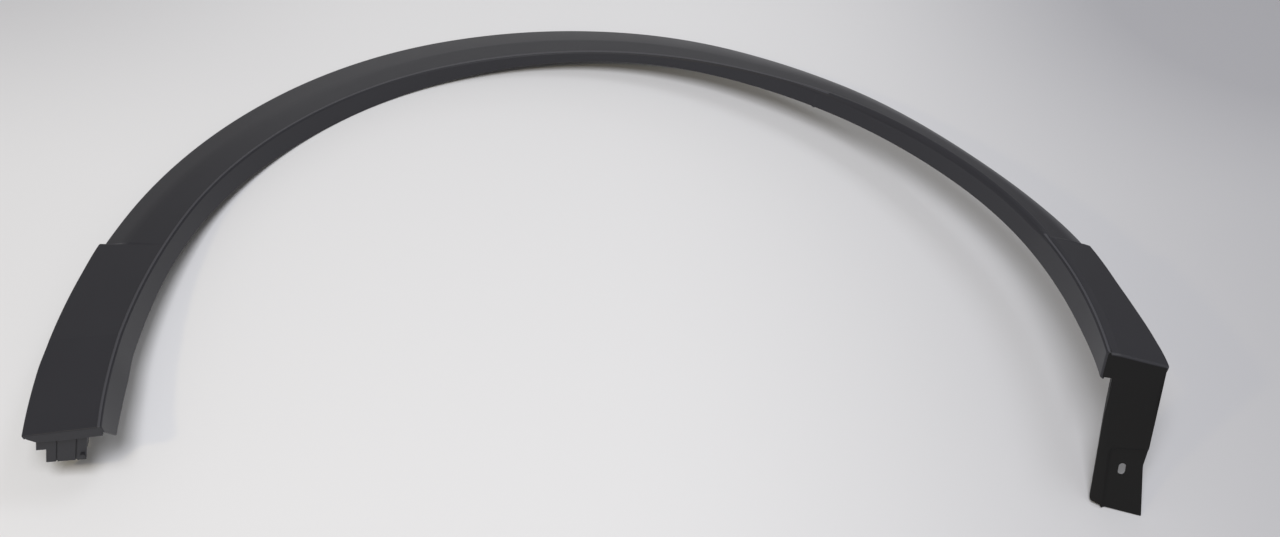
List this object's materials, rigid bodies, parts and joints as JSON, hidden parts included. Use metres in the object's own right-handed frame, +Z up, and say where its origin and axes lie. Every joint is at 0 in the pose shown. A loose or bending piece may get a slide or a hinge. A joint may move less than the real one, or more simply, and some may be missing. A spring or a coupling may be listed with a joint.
{
  "type": "wheel arch trim",
  "caption": "Curved moulded trim strip that frames a wheel opening, with a return flange, a chamfered face and a lower mounting panel at one end.",
  "frame": {"origin": "middle of the footprint at the surface it rests on, laid face up as it comes to rest", "axes": "+X across the wheel opening toward the end with the mounting panel, +Y up the arch toward its crown, +Z up from the surface and out of the face"},
  "size_m": [0.9044, 0.5552, 0.1275],
  "materials": {
    "arch_moulding": "fine-grained satin, moulded in charcoal black"
  },
  "bodies": {
    "root": {"arch_moulding": "arch_moulding"}
  },
  "joints": []
}
